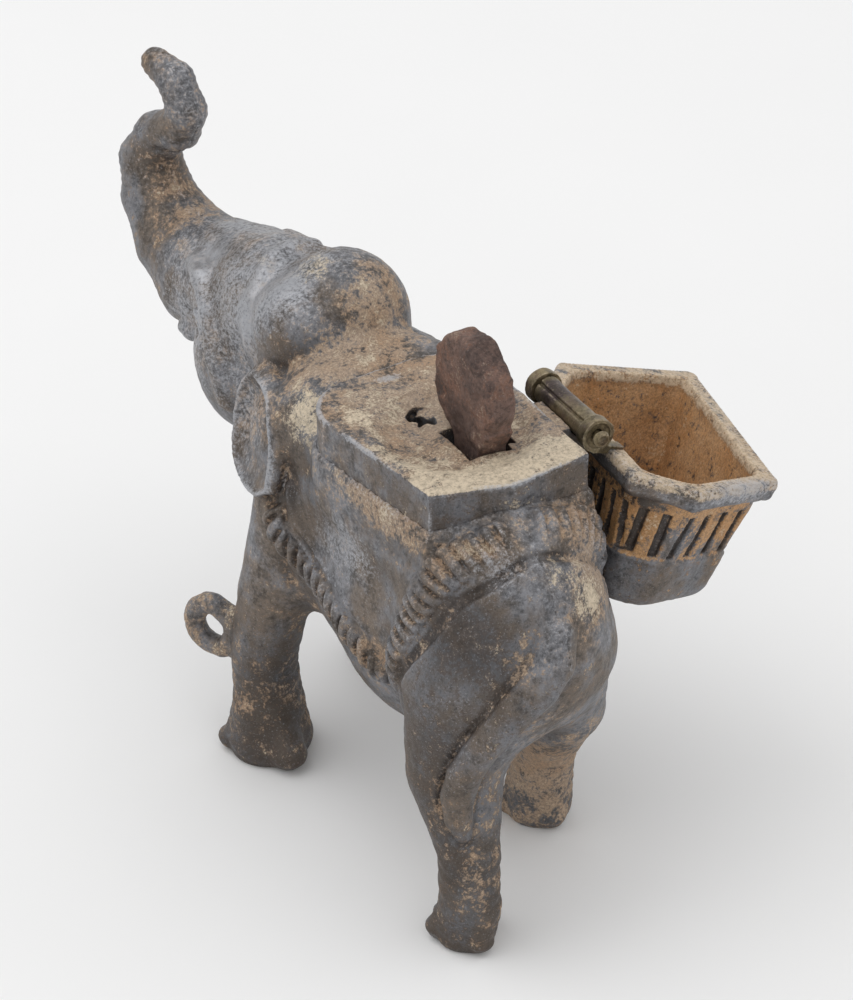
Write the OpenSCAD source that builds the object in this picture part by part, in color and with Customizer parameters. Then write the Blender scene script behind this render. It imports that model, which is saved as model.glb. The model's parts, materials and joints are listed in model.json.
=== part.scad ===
// Elephant coin bank: a hollow cast elephant in two halves carries a saddle
// platform with a coin dish, an iron coin lever, and a basket howdah that is
// hinged on the elephant's right and folds over the dish as a lid.
// The elephant faces -Y, its left side is +X, and it stands on Z = 0.

/* [Elephant] */
// Thickness of the cast wall around the coin chamber
wall_t = 2.4; // [1.8:0.1:3.2]
// Half of the width of the body at the belly
body_half_w = 14.8; // [13.5:0.1:16]
// Height of the back under the saddle
back_z = 63; // [61:0.5:64]
// Height of the belly
belly_z = 17; // [15:0.5:20]
// How far the head turns to the elephant's left, in degrees
head_turn = 7; // [0:0.5:8]

/* [Saddle platform] */
// Height of the platform's top above the ground
saddle_top_z = 66.8; // [66.5:0.1:67.2]
// Thickness of the platform
saddle_t = 6.8; // [6:0.1:7]
// Radius of the coin dish
dish_r = 11; // [10:0.1:11.5]
// Depth of the coin dish
dish_depth = 1.5; // [1:0.1:2]
// Length of the coin slot, for coins up to 18 mm across
coin_slot_len = 18.6; // [17:0.1:18.8]
// Width of the coin slot
coin_slot_w = 2.2; // [1.8:0.1:2.4]

/* [Howdah] */
// Depth of the basket
howdah_h = 21.5; // [20:0.1:22]
// Thickness of the basket's walls
howdah_wall = 1.6; // [1.2:0.1:1.8]
// How far the basket narrows towards its floor, on each side
howdah_taper = 4.4; // [4:0.1:5]
// Opening angle from closed to hanging beside the flank, in degrees
howdah_open = 199.5; // [190:0.5:201]

/* [Hinge] */
// Outer radius of the brass hinge barrel
barrel_r = 2.1; // [1.9:0.05:2.2]
// Length of the hinge barrel
barrel_len = 12; // [10:0.5:12.5]
// Radius of the hinge pin
pin_r = 0.7; // [0.6:0.05:0.8]
// Running clearance around the turning pins
pin_gap = 0.06; // [0.04:0.01:0.09]

/* [Coin lever] */
// Thickness of the iron lever
lever_t = 4.9; // [4:0.1:5]
// Height of the lever's top above the ground
lever_top_z = 81.8; // [79:0.1:82.5]

/* [Tether eye] */
// Radius of the hole in the eye on the left foreleg
eye_hole_r = 1.9; // [1.5:0.1:2.3]
// Thickness of the eye
eye_t = 3.2; // [2.4:0.1:3.4]

/* [Hidden] */

// The model's origin is under the middle of its bounding box.
origin_x = -12.95;
origin_y = -54.6;

lead = [0.43, 0.44, 0.46];
iron = [0.35, 0.24, 0.20];
brass = [0.52, 0.45, 0.30];
steel = [0.50, 0.49, 0.47];

saddle_z = saddle_top_z - saddle_t;
dish_z = saddle_top_z - dish_depth;
dish_pos = [0.2, -24, dish_z];

// Legs, from hip or shoulder to sole: [x, y, z, radius]
leg_hind_left = [[7.3, -7, 38, 10], [10, -6, 25, 6.7], [10.9, -0.5, 14.5, 4.3], [11.1, 0.2, 6, 4.2], [11.1, -0.9, 2.6, 4.7]];
leg_hind_right = [[-6.2, -9, 38, 9], [-10.6, -13, 25, 6.2], [-11.8, -19, 14, 4.5], [-12.1, -20.9, 6, 4.6], [-12.1, -21.4, 2.8, 5]];
leg_fore_left = [[9, -50, 42, 8.5], [13.5, -53, 28, 5.5], [15, -54, 17, 4.8], [14.6, -53.8, 8, 5.2], [14.4, -54.2, 3, 6.3]];
leg_fore_right = [[-9, -50, 42, 8.5], [-12.5, -56, 28, 5.6], [-14, -61, 16, 4.8], [-14, -65, 7, 5.2], [-14, -66.5, 3, 6.3]];
// Trunk, from the face to its tip: [x, y, z, radius]
trunk = [[0.5, -84, 58.5, 9.5], [2.2, -94.5, 56.5, 8.6], [3.6, -102, 59, 6.9], [4.6, -107, 64, 5.5], [4.9, -109, 69.5, 4.6],
         [4.4, -107, 74, 3.7], [3.4, -102, 77.3, 3.2], [3.2, -99.5, 81.5, 3], [3.8, -101.5, 85.6, 2.7], [4.6, -106.5, 86.6, 2.2]];
// Parting line of the two halves: straight down the back, then along the turned head
part_line = [[0, 30], [0, -50], [0.5, -84], [4.5, -107], [4.8, -130]];
part_reach = 60;

// Saddle platform's outline, seen from above
saddle_rear = [[-12.6, -10.1], [-0.1, -7.9], [11.4, -10.9]];
saddle_front_left = [14.9, -34.6];
saddle_front_y = -43.6;
saddle_right_x = -12.5;
saddle_corner_r = 8;

// Coin slot and lever, in the dish
lever_x = -2;
lever_y = [-25.6, -17.4];
lever_head_y = -22.8;
lever_head_r = 8.3;
lever_swing = 8;
pivot_z = saddle_z - 3;
pivot_r = 1;
hub_r = 2.8;
throat_half_w = 10.8;
throat_y = [-35.5, -12];
lug_t = 2;
lug_gap = 0.25;
spring_t = 0.3;
spring_w = 4;
spring_foot_x = 5.6;
spring_foot_len = 5;
tail_half_t = 1.2;
tail_len = 9;
coin_slot_x = lever_x - lever_t / 2 - coin_slot_w / 2 + 0.5;

// Hinge axis, parallel to Y
hinge_x = -17;
hinge_z = 65.4;
hinge_y = [-16.9 - barrel_len, -16.9];
eye_r = 2.6;
eye_len = 1.7;
eye_side_gap = 0.2;

// Howdah's mouth when closed over the saddle, seen from above
howdah_mouth_z = saddle_top_z + 0.15;
howdah_mouth = [[-14.3, -7.6], [-6.6, -3.4], [9.4, -8.2], [17.1, -41.8], [-5.4, -42], [-12, -35.4]];
howdah_mid = [0, -25];
rim_h = 2.3;
rim_out = 0.7;

// Tether eye, on the front-left of the left foreleg
tether_turn = -60;
tether_reach = 8.6;
tether_z = 18.8;
tether_out_r = 5;

// Body screws, driven from the elephant's right
screw_r = 1.2;
screw_head_r = 2.2;
screw_head_t = 1.6;
screw_len = 19;
screw_head_x = -9.8;
boss_r = 3.2;
boss_half_len = 9;
screw_spots = [[0, -57, 40], [0, -9, 38]];

// Coin chamber: how far it reaches inside the torso
chamber_y = [-53, -7];
chamber_z = [28, 58];

function lean(p, inset) = p + inset * (howdah_mid - p) / norm(howdah_mid - p);

module placed() { translate([-origin_x, -origin_y, 0]) children(); }

// A row of round joints, each pair skinned over
module limb(joints, fn = 24) {
    for (i = [0 : len(joints) - 2])
        hull() {
            translate([for (k = [0 : 2]) joints[i][k]]) sphere(r = joints[i][3], $fn = fn);
            translate([for (k = [0 : 2]) joints[i + 1][k]]) sphere(r = joints[i + 1][3], $fn = fn);
        }
}

module egg(centre, radii, turn = 0, fn = 28) {
    translate(centre) rotate([0, 0, turn]) scale(radii) sphere(r = 1, $fn = fn);
}

module torso(inset = 0) {
    barrel_z = (back_z + belly_z) / 2;
    barrel_h = (back_z - belly_z) / 2;
    in = [inset, inset, inset];
    hull() {
        egg([0, -12, 44.5], [14, 15.5, 18.2] - in);
        egg([0, -30, barrel_z + 0.5], [body_half_w, 17, barrel_h] - in);
    }
    hull() {
        egg([0, -30, barrel_z + 0.5], [body_half_w, 17, barrel_h] - in);
        egg([0, -47, 43], [body_half_w - 0.4, 17, 20] - in);
    }
}

// Broad back under the platform, as wide as the platform's outline
module saddle_pad() {
    hull() {
        translate([0, 0, saddle_z - 2]) linear_extrude(2) saddle_outline();
        egg([0, -27, 46], [body_half_w, 17, 8]);
    }
}

module head() {
    hull() {
        translate([0, -47.5, 52]) sphere(r = 13, $fn = 28);
        translate([0, -60, 58]) sphere(r = 11, $fn = 28);
    }
    egg([-1.5, -60, 65.8], [9.5, 9.5, 10]);
    hull() {
        egg([1.2, -72, 62.3], [9.8, 13, 9.5], head_turn);
        egg([1.4, -76, 54], [9.8, 8, 11], head_turn);
    }
    limb(trunk);
}

// Ear: a flap that hangs from the temple back over the neck
module ear(side) {
    hull() {
        translate([1 + side * 9.4, -66, 55]) sphere(r = 2.2, $fn = 20);
        translate([0.6 + side * 12, -57, 59.5]) sphere(r = 1.5, $fn = 20);
        translate([0.6 + side * 13.6, -51.6, 52]) sphere(r = 1.3, $fn = 20);
        translate([0.8 + side * 12.8, -59, 45]) sphere(r = 1.5, $fn = 20);
    }
}

module elephant() {
    intersection() {
        union() {
            torso();
            saddle_pad();
            head();
            limb(leg_hind_left);
            limb(leg_hind_right);
            limb(leg_fore_left);
            limb(leg_fore_right);
            ear(1);
            ear(-1);
        }
        translate([0, 0, 60]) cube([200, 300, 120], center = true);
    }
}

module side_of(side) {
    outline = concat(part_line, [[side * part_reach, -130], [side * part_reach, 30]]);
    translate([0, 0, -1]) linear_extrude(120) polygon(outline);
}

module coin_chamber() {
    throat_z = chamber_z[1] - 8;
    intersection() {
        torso(wall_t);
        translate([-part_reach, chamber_y[0], chamber_z[0]])
            cube([2 * part_reach, chamber_y[1] - chamber_y[0], chamber_z[1] - chamber_z[0]]);
    }
    // The throat under the coin slot and the lever
    translate([-throat_half_w, throat_y[0], throat_z])
        cube([2 * throat_half_w, throat_y[1] - throat_y[0], saddle_top_z - throat_z]);
}

module screw_boss(spot) {
    translate([-boss_half_len, spot[1], spot[2]]) rotate([0, 90, 0]) cylinder(r = boss_r, h = 2 * boss_half_len, $fn = 24);
}

module body_half(side) {
    difference() {
        intersection() {
            union() {
                difference() {
                    elephant();
                    coin_chamber();
                }
                intersection() {
                    for (spot = screw_spots) screw_boss(spot);
                    elephant();
                }
            }
            side_of(side);
        }
        // The seat for the platform casting
        translate([0, 0, saddle_z]) linear_extrude(saddle_t) saddle_outline();
        for (spot = screw_spots) {
            translate([screw_head_x, spot[1], spot[2]]) rotate([0, 90, 0]) cylinder(r = screw_r + 0.1, h = screw_len + 1.8, $fn = 20);
            translate([-part_reach, spot[1], spot[2]]) rotate([0, 90, 0])
                cylinder(r = screw_head_r + 0.2, h = part_reach + screw_head_x, $fn = 20);
        }
    }
}

module body_left() {
    color(lead) placed() body_half(1);
}

module body_right() {
    color(lead) placed() body_half(-1);
}

module saddle_outline() {
    corner_left = saddle_front_left + [-saddle_corner_r, 0];
    corner_right = [saddle_right_x + saddle_corner_r, saddle_front_y + saddle_corner_r];
    union() {
        polygon([saddle_rear[0], saddle_rear[1], saddle_rear[2], saddle_front_left,
                 corner_left, corner_right, corner_right - [saddle_corner_r, 0]]);
        translate(corner_left) circle(r = saddle_corner_r, $fn = 72);
        translate(corner_right) circle(r = saddle_corner_r, $fn = 72);
        polygon([corner_left - [0, saddle_corner_r], corner_left, corner_right, corner_right - [0, saddle_corner_r]]);
    }
}

module pivot_lug(y) {
    translate([lever_x - hub_r, y, pivot_z]) cube([2 * hub_r, lug_t, saddle_z - pivot_z + 0.5]);
    translate([lever_x, y, pivot_z]) rotate([-90, 0, 0]) cylinder(r = hub_r, h = lug_t, $fn = 48);
}

module saddle_platform() {
    lever_len = lever_y[1] - lever_y[0];
    side_gap = 0.3;
    swing_room = (dish_z - pivot_z) * tan(lever_swing) + 2 * side_gap;
    color(lead) placed() difference() {
        union() {
            translate([0, 0, saddle_z]) linear_extrude(saddle_t) saddle_outline();
            pivot_lug(lever_y[0] - lug_gap - lug_t);
            pivot_lug(lever_y[1] + lug_gap);
            // The lug that carries the hinge barrel
            translate([hinge_x, hinge_y[0] + 2, hinge_z - barrel_r - 1.4]) cube([6, barrel_len - 4, 3.4]);
        }
        translate(dish_pos) cylinder(r = dish_r, h = dish_depth + 1, $fn = 96);
        // The lever's opening, wide enough for its swing
        translate([lever_x - lever_t / 2 - side_gap, lever_y[0] - lug_gap, saddle_z - 1])
            cube([lever_t + side_gap + swing_room, lever_len + 2 * lug_gap, saddle_t + 2]);
        // The coin slot
        translate([coin_slot_x - coin_slot_w / 2, dish_pos[1] - coin_slot_len / 2, saddle_z - 1])
            cube([coin_slot_w, coin_slot_len, saddle_t + 2]);
        translate([lever_x, lever_y[0] - 10, pivot_z]) rotate([-90, 0, 0]) cylinder(r = pivot_r, h = 30, $fn = 48);
        translate([hinge_x, hinge_y[0] - 1, hinge_z]) rotate([-90, 0, 0]) cylinder(r = barrel_r, h = barrel_len + 2, $fn = 48);
    }
}

// Coin lever: a thick iron paddle that stands in the dish and swings to the left
module coin_lever() {
    lever_len = lever_y[1] - lever_y[0];
    head_z = lever_top_z - lever_head_r;
    tail_inset = 1.6;
    color(iron) placed() difference() {
        union() {
            translate([lever_x - lever_t / 2, 0, 0]) rotate([90, 0, 90]) linear_extrude(lever_t) union() {
                translate([lever_head_y, head_z]) circle(r = lever_head_r, $fn = 72);
                polygon([[lever_y[0], pivot_z], [lever_y[1], pivot_z], [lever_y[1], dish_z + 1],
                         [lever_head_y + lever_head_r * cos(20), head_z - lever_head_r * sin(20)],
                         [lever_head_y - lever_head_r * cos(20), head_z - lever_head_r * sin(20)], [lever_y[0], dish_z + 1]]);
            }
            translate([lever_x, lever_y[0], pivot_z]) rotate([-90, 0, 0]) cylinder(r = hub_r, h = lever_len, $fn = 48);
            // The tail that the return spring bears on
            translate([lever_x - tail_half_t, lever_y[0] + tail_inset, pivot_z - tail_len])
                cube([2 * tail_half_t, lever_len - 2 * tail_inset, tail_len]);
        }
        translate([lever_x, lever_y[0] - 1, pivot_z]) rotate([-90, 0, 0])
            cylinder(r = pivot_r + pin_gap, h = lever_len + 2, $fn = 48);
    }
}

module lever_pin() {
    reach = lug_gap + lug_t;
    color(steel) placed() translate([lever_x, lever_y[0] - reach, pivot_z]) rotate([-90, 0, 0])
        cylinder(r = pivot_r, h = lever_y[1] - lever_y[0] + 2 * reach, $fn = 48);
}

// Return spring: a bent leaf under the platform, against the lever's tail
module lever_spring() {
    spring_y = (lever_y[0] + lever_y[1] - spring_w) / 2;
    tail_x = lever_x + tail_half_t + 0.05;
    tip_z = pivot_z - tail_len + 1;
    color(steel) placed() translate([0, spring_y + spring_w, 0]) rotate([90, 0, 0]) linear_extrude(spring_w) polygon([
        [spring_foot_x + spring_foot_len, saddle_z], [spring_foot_x, saddle_z], [tail_x, tip_z], [tail_x + spring_t, tip_z],
        [spring_foot_x + spring_t / 2, saddle_z - spring_t], [spring_foot_x + spring_foot_len, saddle_z - spring_t]]);
}

module spring_screw() {
    head_t = 1;
    color(steel) placed() translate([spring_foot_x + spring_foot_len / 2, (lever_y[0] + lever_y[1]) / 2, saddle_z - spring_t - head_t])
        cylinder(r = 1.6, h = head_t, $fn = 48);
}

// Everything on the howdah is drawn closed and then swung open about the hinge
module swung_open() {
    translate([hinge_x, 0, hinge_z]) rotate([0, -howdah_open, 0]) translate([-hinge_x, 0, -hinge_z]) children();
}

module howdah_shell(inset, low, high) {
    hull() {
        translate([0, 0, low]) linear_extrude(0.01) polygon([for (p = howdah_mouth) lean(p, inset)]);
        translate([0, 0, high - 2]) linear_extrude(0.01)
            polygon([for (p = howdah_mouth) lean(p, inset + howdah_taper * (high - 2 - low) / howdah_h)]);
        translate([0, 0, high - 0.01]) linear_extrude(0.01)
            polygon([for (p = howdah_mouth) lean(p, inset + howdah_taper + 1.4)]);
    }
}

module howdah() {
    color(lead) placed() swung_open() difference() {
        union() {
            howdah_shell(0, howdah_mouth_z, howdah_mouth_z + howdah_h);
            // The proud rim around the mouth
            translate([0, 0, howdah_mouth_z]) linear_extrude(rim_h) polygon([for (p = howdah_mouth) lean(p, -rim_out)]);
        }
        howdah_shell(howdah_wall, howdah_mouth_z - 0.02, howdah_mouth_z + howdah_h - howdah_wall);
        // Room for the hinge barrel and its eyes
        translate([hinge_x, hinge_y[0] - eye_len - 1, hinge_z]) rotate([-90, 0, 0])
            cylinder(r = eye_r + 0.2, h = barrel_len + 2 * eye_len + 2, $fn = 48);
    }
}

module hinge_barrel() {
    color(brass) placed() translate([hinge_x, hinge_y[0], hinge_z]) rotate([-90, 0, 0]) difference() {
        cylinder(r = barrel_r, h = barrel_len, $fn = 72);
        translate([0, 0, -1]) cylinder(r = pin_r, h = barrel_len + 2, $fn = 48);
    }
}

// Hinge eye: a ring around the pin with a strap onto the howdah's rim
module hinge_eye(y) {
    strap_len = 5.2;
    color(brass) placed() swung_open() difference() {
        union() {
            translate([hinge_x, y, hinge_z]) rotate([-90, 0, 0]) cylinder(r = eye_r, h = eye_len, $fn = 72);
            translate([hinge_x, y, hinge_z + eye_r - 1.2]) cube([strap_len, eye_len, 1.2]);
        }
        translate([hinge_x, y - 1, hinge_z]) rotate([-90, 0, 0]) cylinder(r = pin_r + pin_gap, h = eye_len + 2, $fn = 48);
        howdah_shell(0, howdah_mouth_z, howdah_mouth_z + howdah_h);
        translate([0, 0, howdah_mouth_z]) linear_extrude(rim_h) polygon([for (p = howdah_mouth) lean(p, -rim_out)]);
    }
}

module hinge_eye_front() {
    hinge_eye(hinge_y[0] - eye_side_gap - eye_len);
}

module hinge_eye_rear() {
    hinge_eye(hinge_y[1] + eye_side_gap);
}

module hinge_pin() {
    end_len = eye_side_gap + eye_len + 0.4;
    head_t = 0.7;
    color(brass) placed() translate([hinge_x, hinge_y[0] - end_len, hinge_z]) rotate([-90, 0, 0]) {
        cylinder(r = pin_r, h = barrel_len + 2 * end_len, $fn = 48);
        translate([0, 0, -head_t]) cylinder(r = 1.3, h = head_t, $fn = 48);
        translate([0, 0, barrel_len + 2 * end_len]) cylinder(r = 1.3, h = head_t, $fn = 48);
    }
}

// Eye on the front of the left foreleg, for a tether ring or a chain
module tether_eye() {
    web_h = 6;
    color(lead) placed() difference() {
        translate([leg_fore_left[2][0], leg_fore_left[2][1], tether_z]) rotate([0, 0, tether_turn]) difference() {
            union() {
                translate([tether_reach, eye_t / 2, 0]) rotate([90, 0, 0]) cylinder(r = tether_out_r, h = eye_t, $fn = 72);
                translate([3, -eye_t / 2, -web_h / 2]) cube([tether_reach - eye_hole_r - 4, eye_t, web_h]);
            }
            translate([tether_reach, eye_t, 0]) rotate([90, 0, 0]) cylinder(r = eye_hole_r, h = 2 * eye_t, $fn = 72);
        }
        limb([leg_fore_left[1], leg_fore_left[2], leg_fore_left[3]]);
    }
}

module body_screws() {
    color(steel) placed() for (spot = screw_spots)
        translate([screw_head_x, spot[1], spot[2]]) rotate([0, 90, 0]) {
            translate([0, 0, -screw_head_t]) cylinder(r = screw_head_r, h = screw_head_t, $fn = 48);
            cylinder(r = screw_r, h = screw_len, $fn = 48);
        }
}

body_left();
body_right();
saddle_platform();
coin_lever();
lever_pin();
lever_spring();
spring_screw();
howdah();
hinge_barrel();
hinge_eye_front();
hinge_eye_rear();
hinge_pin();
tether_eye();
body_screws();
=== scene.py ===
"""An old cast coin bank: an elephant with a saddle platform, an iron coin lever and a hinged howdah.

Lengths are in millimetres in the elephant's own frame (+X its left, -Y ahead, Z up from the ground,
X = 0 in its middle plane) until place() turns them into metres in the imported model's frame."""
import json
import math
import bpy
import numpy as np
import openvdb
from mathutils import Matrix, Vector


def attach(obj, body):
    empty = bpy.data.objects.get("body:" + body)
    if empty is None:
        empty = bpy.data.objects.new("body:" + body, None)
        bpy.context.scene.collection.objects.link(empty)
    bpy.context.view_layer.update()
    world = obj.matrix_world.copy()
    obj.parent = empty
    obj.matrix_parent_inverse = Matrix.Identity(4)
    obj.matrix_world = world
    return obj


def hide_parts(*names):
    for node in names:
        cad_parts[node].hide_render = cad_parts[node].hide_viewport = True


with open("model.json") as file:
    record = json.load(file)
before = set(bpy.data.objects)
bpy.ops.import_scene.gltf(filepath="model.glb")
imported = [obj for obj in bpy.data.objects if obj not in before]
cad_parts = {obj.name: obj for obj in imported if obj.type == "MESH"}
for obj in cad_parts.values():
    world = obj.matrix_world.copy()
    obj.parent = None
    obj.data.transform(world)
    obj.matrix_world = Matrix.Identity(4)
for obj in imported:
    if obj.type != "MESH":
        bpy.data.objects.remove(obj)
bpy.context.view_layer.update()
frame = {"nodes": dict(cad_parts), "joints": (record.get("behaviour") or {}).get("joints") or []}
JOINTS = {j["name"]: j for j in frame["joints"]}
HINGE = np.array([-17.0, -22.9, 65.4])
ORIGIN = np.array(JOINTS["howdah_hinge"]["pos_m"]) * 1000 - HINGE
OPEN_DEG = JOINTS["howdah_hinge"]["range_deg"][1]
VOXEL = 0.3


def place(points):
    return (np.asarray(points) + ORIGIN) / 1000


def unit(values):
    """The values limited to 0..1."""
    return np.clip(values, 0, 1)


# ---------- noise

LATTICE = np.random.default_rng(7).random((32, 32, 32)).astype(np.float32) * 2 - 1


def noise(p, size, seed=0):
    """Smooth noise in -1..1 with a bump about every size mm."""
    q = p / size + seed * 17.31
    i = np.floor(q).astype(np.int64)
    f = (q - i).astype(np.float32)
    f = f * f * (3 - 2 * f)
    out = np.zeros(len(p), np.float32)
    for corner in range(8):
        w = np.ones(len(p), np.float32)
        at = []
        for k in range(3):
            bit = corner >> k & 1
            w *= f[:, k] if bit else 1 - f[:, k]
            at.append(i[:, k] + bit & 31)
        out += w * LATTICE[at[0], at[1], at[2]]
    return out


def fbm(p, size, octaves=3, seed=0):
    return sum(noise(p, size / 2 ** k, seed + k) / 2 ** k for k in range(octaves))


# ---------- distance fields
# A shape is (distance function, low corner, high corner). Fields are negative inside.

def smooth_min(a, b, k):
    h = unit(0.5 + 0.5 * (b - a) / k)
    return b * (1 - h) + a * h - k * h * (1 - h)


def turn(rx=0, ry=0, rz=0):
    a, b, c = np.radians([rx, ry, rz])
    x = np.array([[1, 0, 0], [0, np.cos(a), -np.sin(a)], [0, np.sin(a), np.cos(a)]])
    y = np.array([[np.cos(b), 0, np.sin(b)], [0, 1, 0], [-np.sin(b), 0, np.cos(b)]])
    z = np.array([[np.cos(c), -np.sin(c), 0], [np.sin(c), np.cos(c), 0], [0, 0, 1]])
    return z @ y @ x


def limb(joints, k=0.6):
    """Round cones through joints (x, y, z, radius)."""
    joints = np.array(joints, float)

    def dist(p):
        d = None
        for a, b in zip(joints[:-1], joints[1:]):
            ab = b[:3] - a[:3]
            t = unit((p - a[:3]) @ ab / (ab @ ab))
            q = np.sqrt(((p - a[:3] - t[:, None] * ab) ** 2).sum(1)) - (a[3] + t * (b[3] - a[3]))
            d = q if d is None else smooth_min(d, q, k)
        return d
    r = joints[:, 3:]
    return dist, (joints[:, :3] - r).min(0), (joints[:, :3] + r).max(0)


def egg(centre, radii, rotation=None):
    centre, radii = np.array(centre, float), np.array(radii, float)

    def dist(p):
        q = p - centre
        if rotation is not None:
            q = q @ rotation
        k0 = np.sqrt(((q / radii) ** 2).sum(1))
        k1 = np.sqrt(((q / radii ** 2) ** 2).sum(1)) + 1e-9
        return k0 * (k0 - 1) / k1
    reach = radii.max() if rotation is not None else radii
    return dist, centre - reach, centre + reach


def outline_distance(x, y, corners):
    """Signed distance to a closed polygon in a plane."""
    corners = np.array(corners, float)
    d = np.full(len(x), 1e9)
    sign = np.ones(len(x))
    for a, b in zip(corners, np.roll(corners, 1, 0)):
        e = b - a
        wx, wy = x - a[0], y - a[1]
        t = unit((wx * e[0] + wy * e[1]) / (e @ e))
        d = np.minimum(d, (wx - e[0] * t) ** 2 + (wy - e[1] * t) ** 2)
        above, below = y >= a[1], y < b[1]
        left = e[0] * wy > e[1] * wx
        flip = (above & below & left) | (~above & ~below & ~left)
        sign = np.where(flip, -sign, sign)
    return sign * np.sqrt(d)


def slab(corners, low, high, rounding, axes=(0, 1, 2)):
    """A plate of a polygon's shape between low and high along the third axis."""
    u, v, w = axes
    corners = np.array(corners, float)

    def dist(p):
        a = outline_distance(p[:, u], p[:, v], corners) + rounding
        b = np.abs(p[:, w] - (low + high) / 2) - (high - low) / 2 + rounding
        return np.minimum(np.maximum(a, b), 0) + np.hypot(np.maximum(a, 0), np.maximum(b, 0)) - rounding
    lo, hi = np.zeros(3), np.zeros(3)
    lo[[u, v]], hi[[u, v]] = corners.min(0), corners.max(0)
    lo[w], hi[w] = low, high
    return dist, lo, hi


def grown(shape, amount):
    fn, low, high = shape
    return lambda p: fn(p) - amount, low - amount, high + amount


def edit(p, d, shape, k, cut=False, margin=4.0):
    """Blends shape into the field d, or cuts it out, near the shape only."""
    fn, low, high = shape
    near = ((p > low - k - margin) & (p < high + k + margin)).all(1)
    if near.any():
        if cut:
            d[near] = -smooth_min(-d[near], fn(p[near]), k)
        else:
            d[near] = smooth_min(d[near], fn(p[near]), k)
    return d


def mirrored(joints, middle=0.0):
    return [(2 * middle - j[0], *j[1:]) for j in joints]


def surface_point(field, p, steps=12):
    """Moves points onto a field's surface, and gives the normals there."""
    p = np.array(p, float)
    h = 0.05
    for _ in range(steps):
        g = np.stack([field(p + h * e) - field(p - h * e) for e in np.eye(3)], 1) / (2 * h)
        n = g / (np.linalg.norm(g, axis=1, keepdims=True) + 1e-9)
        p = p - field(p)[:, None] * n
    return p, n


# ---------- meshes

def sample(field, low, high, voxel):
    """The field on a grid, exact near the surface and coarse elsewhere."""
    block = 4
    coarse = voxel * block
    low, high = np.array(low, float), np.array(high, float)
    n = np.ceil((high - low) / coarse).astype(int) + 1
    axes = [low[k] + coarse * np.arange(n[k]) for k in range(3)]
    points = np.stack(np.meshgrid(*axes, indexing="ij"), -1).reshape(-1, 3)
    rough = field(points).reshape(n).astype(np.float32)
    grid = rough
    for k in range(3):
        grid = np.repeat(grid, block, axis=k)
    near = np.abs(rough) < 1.9 * coarse
    for k in range(3):
        near = np.repeat(near, block, axis=k)
    start = low - voxel * (block - 1) / 2
    index = np.argwhere(near)
    grid[near] = field(index * voxel + start).astype(np.float32)
    return grid, start


def largest_shell(points, quads):
    """Leaves out crumbs that aren't joined to the largest shell."""
    label = np.arange(len(points))
    a, b = quads.ravel(), np.roll(quads, 1, axis=1).ravel()
    while True:
        before = label
        ends = label[a], label[b]
        lowest = np.minimum(*ends)
        label = label.copy()
        for which in (*ends, a, b):
            np.minimum.at(label, which, lowest)
        label = label[label]
        if (label == before).all():
            break
    keep = label == np.bincount(label).argmax()
    return points[keep], (np.cumsum(keep) - 1)[quads[keep[quads[:, 0]]]]


def outer_faces(grid, start, voxel):
    """The field's zero surface as quads that face outwards."""
    band = 3 * voxel
    vdb = openvdb.FloatGrid(band)
    vdb.copyFromArray(np.clip(grid, -band, band))
    points, quads = vdb.convertToQuads(0.0)
    points = np.asarray(points, float) * voxel + start
    points, quads = largest_shell(points, np.asarray(quads, np.int64))
    a, b, c, d = (points[quads[:, k]] for k in range(4))
    volume = (a * np.cross(b, c)).sum() + (a * np.cross(c, d)).sum()
    return points, quads if volume > 0 else quads[:, ::-1]


def normals(points, quads):
    n = np.cross(points[quads[:, 2]] - points[quads[:, 0]], points[quads[:, 3]] - points[quads[:, 1]])
    out = np.zeros_like(points)
    for k in range(3):
        for c in range(4):
            out[:, k] += np.bincount(quads[:, c], n[:, k], len(points))
    return out / (np.linalg.norm(out, axis=1, keepdims=True) + 1e-12)


def relief(points, quads, rounds):
    """How far each point stands out of its smoothed surroundings, in mm."""
    a = np.concatenate([quads[:, k] for k in range(4)])
    b = np.concatenate([quads[:, (k + 1) % 4] for k in range(4)])
    count = np.bincount(a, minlength=len(points)) + np.bincount(b, minlength=len(points))
    flat = points.copy()
    for _ in range(rounds):
        flat = np.stack([
            (np.bincount(a, flat[b, k], len(points)) + np.bincount(b, flat[a, k], len(points))) / count
            for k in range(3)], 1)
    return ((points - flat) * normals(points, quads)).sum(1)


def surface_of(field, low, high, voxel, rounds):
    """A field's faces, with each point's normal and relief."""
    points, quads = outer_faces(*sample(field, low, high, voxel), voxel)
    return points, quads, normals(points, quads), relief(points, quads, rounds)


def crevice(grid, start, voxel, points, away, reach):
    """How shut in each point is, from the field reach mm along away: 0 in the open, 1 in a cleft."""
    q = (points + away * reach - start) / voxel
    i = np.clip(np.floor(q).astype(int), 0, np.array(grid.shape) - 2)
    f = unit(q - i)
    value = np.zeros(len(points))
    for corner in range(8):
        bits = [corner >> k & 1 for k in range(3)]
        w = np.prod([f[:, k] if bits[k] else 1 - f[:, k] for k in range(3)], axis=0)
        value += w * grid[i[:, 0] + bits[0], i[:, 1] + bits[1], i[:, 2] + bits[2]]
    return unit(1.25 * (0.95 - np.abs(value) / reach))


def spot(p, centre, radius):
    """1 at a stain's centre, falling to 0 at about its radius."""
    return np.exp(-1.5 * (((p - np.array(centre, float)) / np.array(radius, float)) ** 2).sum(1))


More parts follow.
